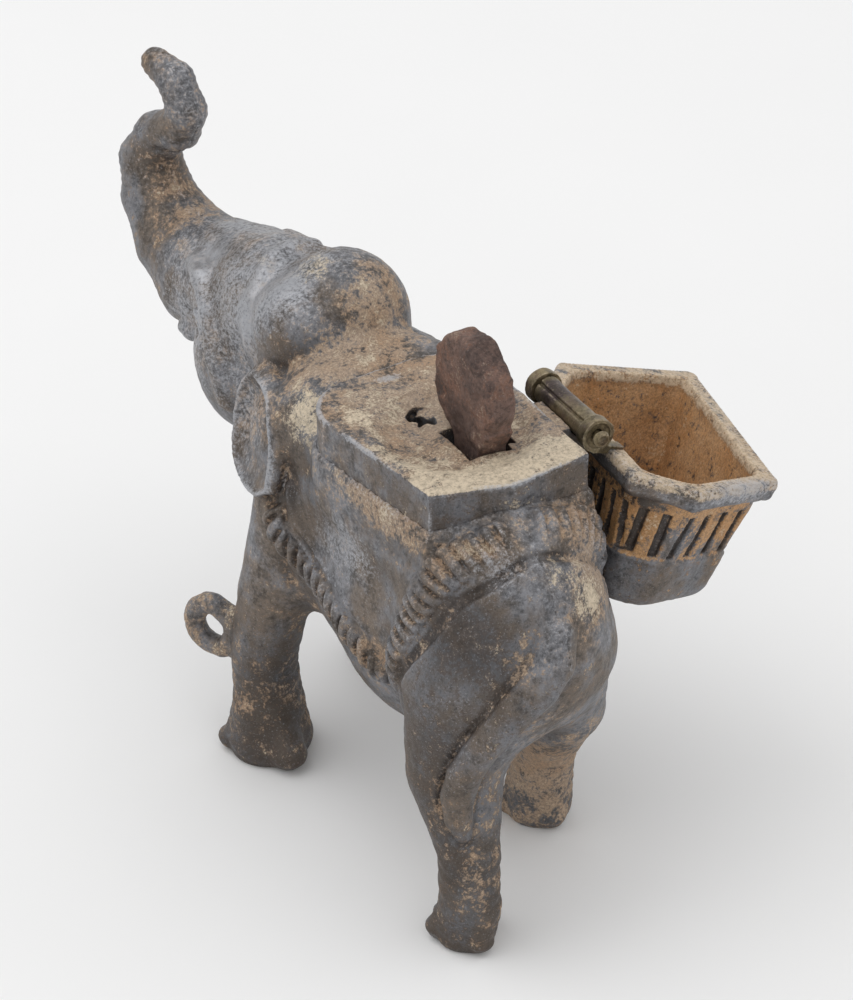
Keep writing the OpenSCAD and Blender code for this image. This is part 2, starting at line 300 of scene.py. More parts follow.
def piece(name, points, quads, weather_and_shading, material, body, node):
    """A Blender object in a CAD node's place, its four kinds of weathering, with painted shade and painted
    highlight, kept as a colour per point.
    """
    mesh = bpy.data.meshes.new(name)
    mesh.from_pydata(place(points).tolist(), [], quads.tolist())
    mesh.polygons.foreach_set("use_smooth", [True] * len(mesh.polygons))
    layer = mesh.color_attributes.new("weather_and_shading", "FLOAT_COLOR", "POINT")
    layer.data.foreach_set("color", unit(np.stack(weather_and_shading, 1)).astype(np.float32).ravel())
    mesh.materials.append(material)
    obj = bpy.data.objects.new(name, mesh)
    bpy.context.scene.collection.objects.link(obj)
    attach(obj, body)
    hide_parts(node)


# ---------- materials

def node_maker(material):
    tree = material.node_tree
    tree.nodes.clear()

    def make(kind, inputs=None, **settings):
        node = tree.nodes.new(kind)
        for key, value in settings.items():
            setattr(node, key, value)
        for key, value in (inputs or {}).items():
            socket = node.inputs[key]
            if isinstance(value, bpy.types.NodeSocket):
                tree.links.new(value, socket)
            else:
                socket.default_value = value
        return node
    return make


def aged_metal(name, base, brown, dark, tan, crust, silver, roughness=0.52, metallic=0.3, grain=1.0,
               own=(0, 0, 0, 0), specks=0.32):
    """Corroded metal. The colour attribute gives tan rust, crust, dark stain and painted shade, and bare
    metal and painted highlight (alpha).
    """
    material = bpy.data.materials.new(name)
    material.use_nodes = True
    make = node_maker(material)

    def math_node(kind, a, b=0.0, c=0.0, clamp=False):
        return make("ShaderNodeMath", {0: a, 1: b, 2: c}, operation=kind, use_clamp=clamp).outputs[0]

    def grains(size, detail=4.0, rough=0.6, offset=0.0):
        move = (offset, offset * 1.7, -offset)
        shifted = make("ShaderNodeVectorMath", {0: mm, 1: move}, operation="ADD").outputs[0]
        return make("ShaderNodeTexNoise", {"Vector": shifted, "Scale": 1 / size, "Detail": detail,
                                           "Roughness": rough}).outputs["Fac"]

    def ramp(value, low, high):
        return make("ShaderNodeMapRange", {"Value": value, "From Min": low, "From Max": high},
                    interpolation_type="SMOOTHSTEP").outputs[0]

    def mix(fac, a, b):
        node = make("ShaderNodeMix", data_type="RGBA")
        tree = material.node_tree
        for index, value in ((0, fac), (6, a), (7, b)):
            if isinstance(value, bpy.types.NodeSocket):
                tree.links.new(value, node.inputs[index])
            else:
                node.inputs[index].default_value = value if index == 0 else (*value, 1)
        return node.outputs[2]

    coords = make("ShaderNodeTexCoord").outputs["Object"]
    mm = make("ShaderNodeVectorMath", {0: coords, 1: (1000, 1000, 1000)}, operation="MULTIPLY").outputs[0]
    weather_and_shading = make("ShaderNodeAttribute", attribute_name="weather_and_shading")
    parts = make("ShaderNodeSeparateColor", {0: weather_and_shading.outputs["Color"]})
    amount = [math_node("ADD", parts.outputs[k], own[k]) for k in range(3)]
    amount.append(math_node("ADD", weather_and_shading.outputs["Alpha"], own[3] - (0 if own == (0, 0, 0, 0) else 1)))

    wide = grains(9, 4)
    mid = grains(2.6, 6, 0.7, 40)
    fine = grains(0.6, 5, 0.7, 90)
    grit = grains(0.36, 4, 0.75, 23)
    dust = grains(0.28, 3, 0.7, 7)
    tall = make("ShaderNodeVectorMath", {0: mm, 1: (0.9, 0.9, 0.25)}, operation="MULTIPLY").outputs[0]
    streaks = make("ShaderNodeTexNoise", {"Vector": tall, "Scale": 0.9, "Detail": 5.0,
                                          "Roughness": 0.65}).outputs["Fac"]

    def mask(value, wobble, low, high, small=fine, big=mid):
        ragged = math_node("MULTIPLY_ADD", math_node("SUBTRACT", big, 0.5), 1.7 * wobble, value)
        ragged = math_node("MULTIPLY_ADD", math_node("SUBTRACT", small, 0.5), 1.5 * wobble, ragged)
        return ramp(ragged, low, high)

    def shade(colour, factor):
        return tuple(factor * c for c in colour)

    colour = mix(ramp(wide, 0.42, 0.60), base, brown)
    colour = mix(math_node("MULTIPLY", ramp(streaks, 0.46, 0.66), 0.4), colour, shade(brown, 0.55))
    colour = mix(math_node("MULTIPLY", mask(amount[2], 1.3, 0.25, 0.8), 0.85), colour, dark)
    mottle = math_node("MULTIPLY", ramp(fine, 0.35, 0.65), 0.55)
    mottle = math_node("MULTIPLY_ADD", ramp(mid, 0.38, 0.62), 0.75, mottle)
    mottle = math_node("ADD", mottle, 0.42)
    colour = make("ShaderNodeVectorMath", {0: colour, 1: mottle}, operation="MULTIPLY").outputs[0]
    tan_mask = mask(amount[0], 1.5, 0.4, 0.9)
    tans = mix(ramp(wide, 0.42, 0.64), tan, tuple(a * b for a, b in zip(tan, (0.92, 0.80, 0.70))))
    tans = mix(ramp(grit, 0.38, 0.60), shade(tan, 0.6), tans)
    colour = mix(math_node("MULTIPLY", tan_mask, 0.85), colour, tans)
    crust_mask = mask(amount[1], 1.5, 0.4, 0.8, grit)
    crusts = mix(ramp(fine, 0.38, 0.58), shade(crust, 0.7), crust)
    colour = mix(math_node("MULTIPLY", crust_mask, 0.9), colour, crusts)
    silver_mask = mask(amount[3], 1.0, 0.35, 1.0, grit, fine)
    colour = mix(math_node("MULTIPLY", silver_mask, 0.7), colour, silver)
    flecks = math_node("MULTIPLY", ramp(dust, 0.59, 0.70), specks)
    colour = mix(flecks, colour, mix(tan_mask, silver, crust))
    dents = math_node("MULTIPLY", ramp(dust, 0.42, 0.32), 0.5)
    colour = mix(dents, colour, shade(dark, 0.6))

    rough = math_node("MULTIPLY_ADD", math_node("SUBTRACT", mid, 0.5), 0.6, roughness)
    rough = math_node("MULTIPLY_ADD", tan_mask, 0.18, rough)
    rough = math_node("MULTIPLY_ADD", silver_mask, -0.16, rough, clamp=True)
    shine = math_node("MULTIPLY_ADD", tan_mask, -metallic * 0.7, metallic)
    shine = math_node("MULTIPLY_ADD", silver_mask, 0.3, shine, clamp=True)

    height = math_node("MULTIPLY_ADD", fine, 0.10 * grain, math_node("MULTIPLY", mid, 0.16 * grain))
    height = math_node("MULTIPLY_ADD", dust, 0.035 * grain, height)
    height = math_node("MULTIPLY_ADD", crust_mask, 0.05, height)
    bump = make("ShaderNodeBump", {"Strength": 0.75, "Distance": 0.001, "Height": height})
    surface = make("ShaderNodeBsdfPrincipled", {
        "Base Color": colour, "Roughness": rough, "Metallic": shine, "Normal": bump.outputs[0],
        "Specular IOR Level": 0.45})
    make("ShaderNodeOutputMaterial", {"Surface": surface.outputs[0]})
    return material


LEAD = dict(base=(0.174, 0.175, 0.188), brown=(0.138, 0.110, 0.088), dark=(0.046, 0.034, 0.027),
            silver=(0.45, 0.46, 0.49))
cast = aged_metal("cast_lead", tan=(0.48, 0.355, 0.25), crust=(0.66, 0.56, 0.42), **LEAD)
howdah_metal = aged_metal("howdah_lead", tan=(0.60, 0.34, 0.145), crust=(0.62, 0.50, 0.36), **LEAD)
rust = aged_metal(
    "lever_rust", base=(0.155, 0.095, 0.075), brown=(0.095, 0.06, 0.05), dark=(0.04, 0.025, 0.022),
    tan=(0.22, 0.12, 0.085), crust=(0.36, 0.27, 0.21), silver=(0.3, 0.27, 0.26), roughness=0.75,
    metallic=0.1, grain=1.8)
brass = aged_metal(
    "old_brass", base=(0.21, 0.17, 0.10), brown=(0.12, 0.085, 0.06), dark=(0.05, 0.033, 0.038),
    tan=(0.22, 0.16, 0.08), crust=(0.4, 0.33, 0.2), silver=(0.45, 0.38, 0.27), roughness=0.42,
    metallic=0.6, grain=0.4, specks=0.15)
steel = aged_metal(
    "dark_steel", base=(0.12, 0.115, 0.11), brown=(0.09, 0.075, 0.065), dark=(0.035, 0.028, 0.024),
    tan=(0.2, 0.12, 0.07), crust=(0.35, 0.28, 0.2), silver=(0.4, 0.4, 0.4), roughness=0.5,
    metallic=0.6, grain=0.5, own=(0.3, 0.1, 0.3, 0.2))

# ---------- the elephant

HIND_LEFT = [(7.3, -7, 38, 10), (10, -6, 25, 6.7), (10.9, -0.5, 14.5, 4.2), (11.1, 0.2, 6, 4.2),
             (11.1, -0.9, 2.6, 4.6)]
HIND_RIGHT = [(-6.2, -9, 38, 9), (-10.6, -13, 25, 6.2), (-11.8, -19, 14, 4.5), (-12.1, -20.9, 6, 4.6),
              (-12.1, -21.4, 2.8, 5)]
FORE_LEFT = [(9, -50, 42, 8.5), (13.5, -53, 28, 5.4), (15, -54, 17, 4.7), (14.6, -53.8, 8, 5.2),
             (14.4, -54.2, 3, 6.3)]
FORE_RIGHT = [(-9, -50, 42, 8.5), (-12.5, -56, 28, 5.6), (-14, -61, 16, 4.8), (-14, -65, 7, 5.2),
              (-14, -66.5, 3, 6.3)]
TRUNK = [(0.5, -84, 58.5, 9.5), (2.2, -94.5, 56.5, 8.6), (3.6, -102, 59, 6.9), (4.6, -107, 64, 5.5),
         (4.9, -109, 69.5, 4.6), (4.4, -107, 74, 3.7), (3.4, -102, 77.3, 3.2), (3.2, -99.5, 81.5, 3),
         (3.8, -101.5, 85.6, 2.7), (4.6, -106.5, 86.6, 2.2)]
TAIL = [(0.2, 3.4, 49.5, 2.9), (1.4, 4.8, 46, 3.1), (3.8, 4.9, 42.8, 3.0), (6.6, 4.4, 40.0, 2.7),
        (9.0, 3.5, 36.9, 2.5), (11.2, 2.4, 33.3, 2.4), (12.8, 1.3, 29.4, 2.35), (13.4, 0.7, 25.6, 2.3),
        (13.4, 1.0, 22.4, 2.0), (13.0, 1.6, 20.0, 1.3)]
SADDLE_CORNERS = [(-12.6, -10.1), (-0.1, -7.9), (11.4, -10.9), (14.9, -34.6)]
SADDLE_RADIUS, SADDLE_FRONT, SADDLE_RIGHT = 8.0, -43.6, -12.5
SADDLE_Z = (60.0, 66.8)
PART_Y = [-130, -107, -84, -50, 30]
PART_X = [4.8, 4.5, 0.5, 0, 0]
CLOTH_EDGE = [(16.2, -47.5, 46.5), (16.1, -44.9, 42.1), (14.9, -40.5, 39.3), (14.3, -35.9, 38.3),
              (14.6, -30.8, 37.0), (14.1, -26.1, 34.8), (14.2, -22, 32), (14.8, -18, 32.4),
              (15.6, -14.8, 37.5), (14.9, -12.8, 43.5), (13.6, -11, 48.9), (12.3, -9.3, 53.1),
              (9.5, -7.2, 57.3), (6.9, -5.7, 59.4), (1.0, -4.8, 61.4)]
HEAD_MIDDLE = 0.6
EAR = [(-62.7, 58.8), (-59.5, 61.8), (-54.9, 62.4), (-50.6, 61.6), (-48.4, 58.8), (-46.6, 55.2),
       (-46.1, 52.2), (-46.2, 48.9), (-50.2, 46.0), (-54.6, 44.9), (-58.4, 44.6), (-61.4, 45.6),
       (-63.5, 48.2), (-64.6, 52.2), (-64.4, 55.8)]


def saddle_outline():
    def corner(x, y, first):
        angles = np.radians(np.linspace(first, first - 90, 9))
        return [(x + SADDLE_RADIUS * math.cos(a), y + SADDLE_RADIUS * math.sin(a)) for a in angles]
    left = corner(SADDLE_CORNERS[3][0] - SADDLE_RADIUS, SADDLE_CORNERS[3][1], 0)
    right = corner(SADDLE_RIGHT + SADDLE_RADIUS, SADDLE_FRONT + SADDLE_RADIUS, -90)
    return SADDLE_CORNERS[:3] + left + right


def rough_body(p):
    """The smooth mass of the elephant, before its details."""
    p = np.asarray(p, float)
    d = egg((0, -30, 40.5), (14.8, 20, 23.5))[0](p)
    d = smooth_min(d, egg((0, -11, 44.5), (14, 16, 18.5))[0](p), 5)
    d = smooth_min(d, egg((0, -47, 42.5), (14.3, 17, 20.5))[0](p), 5)
    d = edit(p, d, slab(saddle_outline(), 52, SADDLE_Z[0] + 0.6, 1.5), 5)
    for leg in (HIND_LEFT, HIND_RIGHT, FORE_LEFT, FORE_RIGHT):
        d = edit(p, d, limb(leg), 4, margin=8)
    d = edit(p, d, limb([(0, -46, 50, 13), (0, -60, 58, 11)]), 5, margin=8)
    d = edit(p, d, egg((-1.5, -60, 65.5), (9.5, 9.5, 10)), 3, margin=8)
    d = edit(p, d, egg((1.2, -72, 62.3), (10, 13, 9.5), turn(rz=7)), 3, margin=8)
    for x in (6.8, -5.0):
        d = edit(p, d, egg((x, -76, 52.5), (5.8, 9, 11), turn(rz=7)), 3, margin=8)
    return edit(p, d, limb(TRUNK), 3, margin=8)


def braid(edge, first, last, half_width, spacing, slant, depth):
    """A raised cord of slanting strands along a line on the body, between two shares of its length."""
    edge = np.array(edge, float)
    run = np.concatenate([[0], np.cumsum(np.linalg.norm(np.diff(edge, axis=0), axis=1))])
    where = np.arange(first * run[-1], last * run[-1], 0.8)
    line = np.stack([np.interp(where, run, edge[:, k]) for k in range(3)], 1)
    line, normal = surface_point(rough_body, line)
    along = np.gradient(line, axis=0)
    along /= np.linalg.norm(along, axis=1, keepdims=True)
    across = np.cross(normal, along)
    across /= np.linalg.norm(across, axis=1, keepdims=True)

    def height(p):
        nearest = np.full(len(p), 1e9)
        s, w = np.zeros(len(p)), np.zeros(len(p))
        for k in range(len(line)):
            q = p - line[k]
            far = (q * q).sum(1)
            closer = far < nearest
            nearest[closer] = far[closer]
            s[closer] = where[k] + q[closer] @ along[k]
            w[closer] = q[closer] @ across[k]
        ends = unit((s - where[0]) / 1.2) * unit((where[-1] - s) / 1.2)
        profile = unit(1 - (w / half_width) ** 2) ** 0.4 * ends
        twist = np.abs(np.sin(math.pi * (s + slant * w + 0.25 * noise(p, 3, 17)) / spacing))
        return depth * profile * (0.1 + 0.9 * twist ** 0.6)
    reach = half_width + 2.5
    return height, line.min(0) - reach, line.max(0) + reach


def on_body(points, radius, lift=0.0):
    """A limb laid along the rough body's surface."""
    p, n = surface_point(rough_body, points)
    return [(*(q + m * lift), radius) for q, m in zip(p, n)]


def ear(side):
    """A thin leaf-shaped flap with a raised rim, hung back from the temple over the neck."""
    def dist(p):
        x = (p[:, 0] - HEAD_MIDDLE) * side
        inside = outline_distance(p[:, 1], p[:, 2], EAR)
        slant = 0.20 * (p[:, 1] + 60) + 0.17 * (56 - p[:, 2])
        hollow = -1.2 * np.exp(-((inside + 3.6) / 1.6) ** 2) * unit((p[:, 2] - 47) / 5)
        middle = 12.1 + slant + hollow
        half = 0.75 + 1.0 * np.exp(-((inside + 0.8) / 0.5) ** 2)
        a, b = inside + 0.7, np.abs(x - middle) - half + 0.7
        return np.minimum(np.maximum(a, b), 0) + np.hypot(np.maximum(a, 0), np.maximum(b, 0)) - 0.7
    x0, x1 = sorted((HEAD_MIDDLE + side * 9.5, HEAD_MIDDLE + side * 17.5))
    return dist, np.array([x0, -67.5, 44]), np.array([x1, -45.3, 63.2])


def body_details():
    """(shape, blend width, cut) for everything on top of the rough body."""
    out, braids = [], []

    def add(shape, k):
        out.append((shape, k, False))

    def cut(shape, k):
        out.append((shape, k, True))

    for side in (1, -1):
        m = HEAD_MIDDLE if side < 0 else 0
        flip = (lambda pts, m=m: mirrored(pts, m)) if side < 0 else (lambda pts: pts)
        # Temple, brow ridge, eye socket and eye
        add(egg(flip([(5.6, -60, 65.4)])[0], (6.2, 8, 7.4)), 1.2)
        brow = [(8.2, -87.5, 63.2), (9.6, -82.5, 63.6), (11.2, -77, 61), (12, -73.6, 55), (11, -72, 49)]
        add(limb(flip([(*q, 1.5) for q in brow])), 1.4)
        cut(egg(flip([(12.4, -80, 58)])[0], (2.6, 3.6, 2.2)), 1.2)
        add(egg(flip([(10.4, -80, 58)])[0], (1.5, 1.8, 1.3)), 0.4)
        add(limb(flip([(10.9, -82.2, 58.6, 0.5), (11.6, -80, 59.5, 0.55), (11.9, -77.8, 58.4, 0.5)])), 0.4)
        # The ear's root folds up over the temple
        fold = [(1.5, -71.8, 71.6), (4, -70.8, 71.3), (6.2, -69.4, 70.3), (8.9, -67.9, 67.2),
                (10.1, -67, 63.9), (10.6, -66.5, 60.5)]
        add(limb(on_body(flip(fold), 0.9, -0.25)), 1.5)
        add(ear(side), 0.7)
        add(egg(flip([(10.8, -57.5, 60.6)])[0], (1.8, 3.4, 1.8)), 1.6)
        # Tusk stub and the cheek's fold
        add(limb(flip([(7.2, -85.5, 52.6, 2.2), (8.3, -88.6, 51.6, 1.7), (8.8, -90.6, 51.2, 1.1)])), 0.8)
        cut(limb(flip([(10.4, -86, 56.5, 0.5), (10.9, -81, 54.5, 0.5), (10.5, -77, 50, 0.5)])), 1.4)
        # Flank: the cloth's edge, first rope and then hanging strands
        edge = flip(CLOTH_EDGE)
        braids.append(braid(edge, 0.0, 0.47, 2.1, 2.2, 0.55 * side, 1.6))
        braids.append(braid(edge, 0.49, 0.985, 2.9, 1.95, 0.2 * side, 1.3))
        border = [(q[0] + 0.3, q[1] + 2.6, q[2] + 3.4) for q in CLOTH_EDGE[:6]]
        add(limb(on_body(flip(border), 0.35, 0.0)), 0.4)
        behind = [(1, -1.3, 59.2), (7, -1.9, 56.5), (10.9, -4.3, 53.2), (13.4, -6.6, 47.5),
                  (15.6, -9.4, 40)]
        cut(limb(on_body(flip(behind), 0.7, 0.2)), 0.7)
        ahead = [(13.2, -45.5, 50), (15.5, -43.5, 44.5), (14.4, -38.8, 41.3)]
        add(limb(on_body(flip(ahead), 0.5, 0.1)), 0.6)
        # Creases where the legs join the body
        thigh = [(15.6, -10.5, 41), (16.4, -9.6, 36), (15.6, -10.6, 31), (13.8, -12.2, 26)]
        cut(limb(on_body(flip(thigh), 0.6, 0.25)), 1.5)
        shoulder = [(16, -48, 47), (16.6, -45.8, 40), (15.6, -44.6, 34)]
        cut(limb(on_body(flip(shoulder), 0.5, 0.2)), 1.6)
        # Mouth corner and lower lip
        add(egg(flip([(3.6, -84, 47.5)])[0], (3.4, 5.5, 3.6)), 2.0)
    add(limb([(1.6, -80, 45.5, 3.6), (2.6, -88, 45.6, 2.4), (3.2, -92, 46.8, 1.3)]), 1.6)
    cut(egg((2.6, -91, 49.8), (4.2, 4.0, 1.2)), 1.4)
    # The tail, with a groove along each side of it
    beside = [(x + 2.4, y - 0.6, z - 1.6) for x, y, z, _ in TAIL[1:8]]
    cut(limb(on_body(beside, 0.8, 0.1)), 1.0)
    beside = [(x - 2.4, y + 0.2, z + 1.4) for x, y, z, _ in TAIL[3:7]]
    cut(limb(on_body(beside, 0.6, 0.1)), 1.0)
    add(limb(TAIL, 0.3), 0.3)
    # Toes, and the heels of three feet
    for leg, forward, size in ((HIND_LEFT, 4.0, 1.5), (HIND_RIGHT, 4.3, 1.6), (FORE_LEFT, 5.6, 1.9),
                               (FORE_RIGHT, 5.6, 1.9)):
        for angle in (-62, -22, 22, 62):
            a = math.radians(angle)
            toe = (leg[4][0] + forward * math.sin(a), leg[4][1] - forward * math.cos(a), 1.9)
            add(egg(toe, (size, size, 1.9)), 0.6)
    add(limb([(14.4, -47.9, 2.7, 2.6), (14.5, -49.4, 6, 1.9)]), 1.5)
    add(limb([(11.1, 3.2, 2.2, 1.9), (11.1, 3.5, 5, 1.4)]), 1.2)
    add(limb([(-12.1, -17.2, 2.2, 1.9), (-12.0, -17, 5, 1.4)]), 1.2)
    # Nostrils and the folds of the trunk
    cut(egg((4.6, -110.2, 87.2), (1.5, 1.6, 1.2)), 0.5)
    cut(limb([(6.9, -103.2, 74.2, 0.4), (3.6, -100.4, 74.6, 0.4), (0.9, -103.3, 74.6, 0.4)]), 0.7)
    add(grown(slab(saddle_outline(), 56, 60.4, 0.6), 0.7), 1.4)
    # The neck rises into the front of the platform
    add(limb([(-6, -46.2, 58.3, 8.6), (6.5, -46.8, 58.0, 8.6)]), 3)
    return out, braids


def wrinkles(p):
    """Rings across the trunk and shallow folds on the head and legs."""
    trunk = unit((p[:, 2] - 62) / 4) * (p[:, 1] < -97)
    rings = np.sin(2 * np.pi * (p[:, 2] * 0.85 - p[:, 1] * 0.5) / 1.15 + 1.3 * noise(p, 3, 5))
    folds = np.sin(2 * np.pi * (p[:, 2] * 0.9 + p[:, 1] * 0.35) / 2.1 + 2.6 * noise(p, 6, 9))
    lower = unit((22 - p[:, 2]) / 8) + 0.5 * (p[:, 1] < -84)
    return 0.045 * trunk * rings + 0.09 * unit(lower) * folds * (1 - trunk)


DETAILS, BRAIDS = body_details()
THROAT = slab([(-9, -34.5), (9, -34.5), (9, -13), (-9, -13)], 48, 70, 0.5)


def body(p):
    d = rough_body(p)
    for shape, k, cut in DETAILS:
        d = edit(p, d, shape, k, cut, margin=2.5)
    for height, low, high in BRAIDS:
        near = ((p > low) & (p < high)).all(1) & (np.abs(d) < 3.5)
        if near.any():
            d[near] -= height(p[near])
    d = edit(p, d, grown(slab(saddle_outline(), SADDLE_Z[0], 75, 0.2), -0.15), 0.02, cut=True)
    d = edit(p, d, THROAT, 0.05, cut=True)
    return np.maximum(d, -p[:, 2])


TAN, CRUST, DARK, BARE_AND_HIGHLIGHT = range(4)
# (kind, strength, middle, reach) of the stains, worn places, painted shadows and painted highlights that
# the body has besides its relief
BODY_STAINS_AND_SHADING = [
    # Head, neck and trunk
    (TAN, 0.65, (13.5, -57, 54), (3, 6, 6)),
    (TAN, 0.6, (2, -97, 60), (10, 10, 8)),
    (TAN, 0.45, (5, -106, 70), (6, 6, 7)),
    (TAN, 0.25, (5, -108, 68), (7, 6, 8)),
    (TAN, 0.7, (4.4, -107, 86.5), (3, 4, 3)),
    (CRUST, 0.85, (12.3, -43.2, 62.2), (4.5, 4.5, 5)),
    (CRUST, 0.75, (3, -61, 74.5), (3, 3.5, 3)),
    (CRUST, 0.30, (4.5, -71.5, 71), (3.5, 3, 3)),
    (CRUST, 0.30, (13.3, -58, 53), (2, 4, 4)),
    (CRUST, 0.20, (6, -104, 66), (6, 6, 9)),
    (DARK, 0.5, (7, -56, 66), (6, 6, 5)),
    (DARK, 0.55, (3, -97, 62), (9, 9, 9)),
    (DARK, 0.35, (4, -105, 70), (7, 6, 9)),
    (BARE_AND_HIGHLIGHT, 0.35, (8, -64, 69), (5, 6, 6)),
    (BARE_AND_HIGHLIGHT, 0.25, (9, -66, 64), (5, 6, 6)),
    (BARE_AND_HIGHLIGHT, 0.4, (6, -59.5, 71.5), (3.5, 3.5, 3)),
    # Worn metal with a painted highlight on the brow
    (BARE_AND_HIGHLIGHT, 0.55, (8.2, -84.5, 65.3), (5, 5, 3)),
    (BARE_AND_HIGHLIGHT, 0.30, (4, -103, 85), (3, 3, 3)),
    # Painted shadow behind and below the left ear
    (DARK, 0.8, (14, -44.4, 50.5), (4, 1.5, 5)),
    (DARK, 0.6, (15, -53, 42.6), (4, 4.5, 1.5)),
    # Under the platform, flank and rump
    (TAN, 0.7, (13, -22, 59.5), (4, 15, 3)),
    (TAN, 0.5, (2, -6, 60.5), (13, 3.5, 3)),
    (TAN, 0.7, (-7, 0, 53), (8, 9, 9)),
    (TAN, 0.12, (8, 2, 47), (5, 5, 6)),
    (TAN, 0.15, (5.5, 3.9, 45), (2, 3, 4)),
    (CRUST, 0.55, (13, -22, 59.5), (4, 15, 2.6)),
    (CRUST, 0.35, (4, -6, 60.5), (11, 3, 2.5)),
    (CRUST, 1.0, (-6, 1.9, 52), (4, 4, 3.5)),
    (CRUST, 0.5, (-3, 0, 57), (7, 4, 4)),
    (CRUST, 0.15, (8, 1, 48), (5, 5, 5)),
    (DARK, 0.7, (10, -2, 49), (9, 8, 9)),
    (DARK, 0.2, (8, 4, 38), (6, 4, 10)),
    (DARK, -0.3, (-9, 0, 48), (7, 9, 12)),
    (BARE_AND_HIGHLIGHT, 0.30, (14, -36, 48), (5, 8, 6)),
    (BARE_AND_HIGHLIGHT, 0.45, (13.2, -28.8, 50), (5, 7, 5)),
    (BARE_AND_HIGHLIGHT, 0.35, (5.3, -2.6, 58.7), (6, 3, 3)),
    # Legs
    (TAN, 0.25, (13.5, -53, 33), (5, 6, 10)),
    (TAN, 0.2, (14, -54, 8), (7, 7, 9)),
    (TAN, 0.65, (-11, -17, 16), (8, 10, 16)),
    (TAN, 0.5, (11.5, 3.5, 12), (4, 5, 8)),
    (DARK, 0.2, (14, -54, 13), (7, 7, 12)),
    (DARK, 0.25, (12, -6, 28), (9, 10, 12)),
    (DARK, 0.4, (13, -5, 35), (6, 7, 9)),
]


def body_weather_and_shading(p, n, out, cleft, ridge):
    """Tan, crust, dark and bare-metal amounts on the castings, with painted shade in low places and
    clefts, and painted highlight on raised places, ridges and upward faces.
    """
    low, high = unit(-out / 0.35), unit(out / 0.35)
    up = unit(n[:, 2])
    legs = unit((31 - p[:, 2]) / 14)
    head = unit((-52 - p[:, 1]) / 14) * unit((p[:, 2] - 45) / 8)
    head *= unit((p[:, 1] + 98) / 8)
    crown = spot(p, (-2.5, -55, 72), (8, 8, 7))
    neck = spot(p, (3, -47.5, 63), (13, 7, 9))
    ear_rim = np.exp(-((outline_distance(p[:, 1], p[:, 2], EAR) + 0.7) / 0.6) ** 2) * (p[:, 0] > 12.5)
    tan = 0.12 + 0.16 * low + 0.22 * cleft + 0.12 * up + 0.18 * legs + 0.70 * crown + 1.35 * neck
    tan += 0.30 * fbm(p, 11, 2, 3)
    crust = -0.04 + 0.10 * low + 0.06 * cleft + 0.30 * crown + 0.50 * neck + 0.10 * fbm(p, 7, 2, 8)
    # Dark stain, with painted shade added in low places and clefts, and lessened on upward faces as
    # painted light from above
    dark = 0.20 + 0.25 * low + 0.75 * cleft - 0.15 * up + 0.42 * legs - 0.15 * head
    dark += 0.18 * fbm(p, 9, 2, 21) - 0.5 * crown - 0.6 * neck
    # Bare metal worn on raised places and ridges, which also serves as painted highlight there and on
    # upward faces
    bare_and_highlight = 0.10 + 0.30 * high + 0.12 * ridge + 0.12 * up - 0.35 * legs + 0.43 * head
    bare_and_highlight += 0.15 * fbm(p, 8, 2, 30) - 0.3 * (crown + neck)
    bare_and_highlight += 0.6 * ear_rim * unit((p[:, 1] + 58) / 4)
    weather_and_shading = [tan, crust, dark, bare_and_highlight]
    for kind, strength, middle, reach in BODY_STAINS_AND_SHADING:
        weather_and_shading[kind] = weather_and_shading[kind] + strength * spot(p, middle, reach)
    return weather_and_shading


def make_body():
    low, high = (-22, -114.5, -1.2), (23.5, 8.5, 90.5)
    grid, start = sample(body, low, high, VOXEL)
    nx, ny, _ = grid.shape
    x = start[0] + VOXEL * np.arange(nx)[:, None]
    y = start[1] + VOXEL * np.arange(ny)[None, :]
    across = (x - np.interp(y, PART_Y, PART_X))[:, :, None].astype(np.float32)
    for side, name in ((1, "left"), (-1, "right")):
        half = np.maximum(grid, -side * across - 0.6 * VOXEL)
        points, quads = outer_faces(half, start, VOXEL)
        n = normals(points, quads)
        out = relief(points, quads, 14)
        # How shut in (cleft) and how thin (ridge) each point is: clefts get tan patina and painted shade,
        # ridges get wear with painted highlight
        cleft = crevice(grid, start, VOXEL, points, n, 1.5)
        ridge = crevice(grid, start, VOXEL, points, -n, 1.2)
        weather_and_shading = body_weather_and_shading(points, n, out, cleft, ridge)
        # Rough casting skin and corrosion pits
        cast_skin = 0.11 * fbm(points, 4.5, 3, 2) + 0.05 * noise(points, 1.1, 4)
        pits = -0.22 * unit(noise(points, 0.9, 12) - 0.45) * (0.5 + weather_and_shading[TAN])
        skin = unit(points[:, 2] / 1.5) * (cast_skin + pits + wrinkles(points))
        points = points + n * skin[:, None]
        piece(f"elephant_{name}_half", points, quads, weather_and_shading, cast, "bank", f"body_{name}")


# ---------- saddle platform

DISH = (0.2, -24.0)
DISH_RADIUS, DISH_FLOOR = 11.0, 65.3


